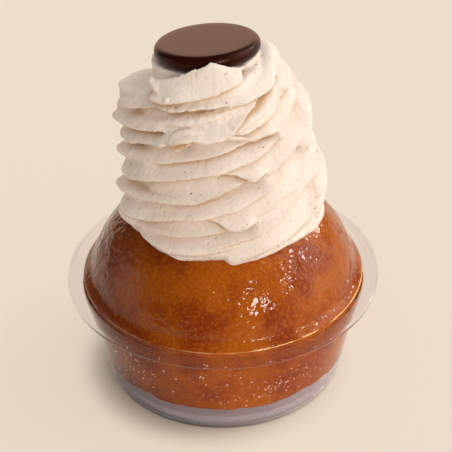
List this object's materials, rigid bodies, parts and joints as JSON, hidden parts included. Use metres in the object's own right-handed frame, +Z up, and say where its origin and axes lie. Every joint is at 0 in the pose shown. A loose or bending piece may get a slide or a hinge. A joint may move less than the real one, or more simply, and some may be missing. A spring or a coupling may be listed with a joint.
{
  "type": "rum baba",
  "caption": "Syrup-soaked domed bun in its clear flanged cup, with a star-piped cream swirl and a round dark chocolate disc on top.",
  "frame": {"origin": "on the cup's axis, at the level of the foot ring that the cup stands on", "axes": "+Z up along the cup's axis, -Y towards the front, where the disc's raised edge is, +X to the right seen from the front"},
  "size_m": [0.095, 0.095, 0.114],
  "materials": {
    "clear_plastic": "thin clear thermoformed plastic, glossy",
    "soaked_bun": "golden brown crust, wet with syrup, glossy in patches",
    "vanilla_cream": "soft matt whipped cream with dark vanilla seeds",
    "dark_chocolate": "satin dark chocolate"
  },
  "bodies": {
    "root": {"plastic_cup": "clear_plastic", "baba": "soaked_bun", "cream_swirl": "vanilla_cream", "chocolate_disc": "dark_chocolate"}
  },
  "joints": []
}
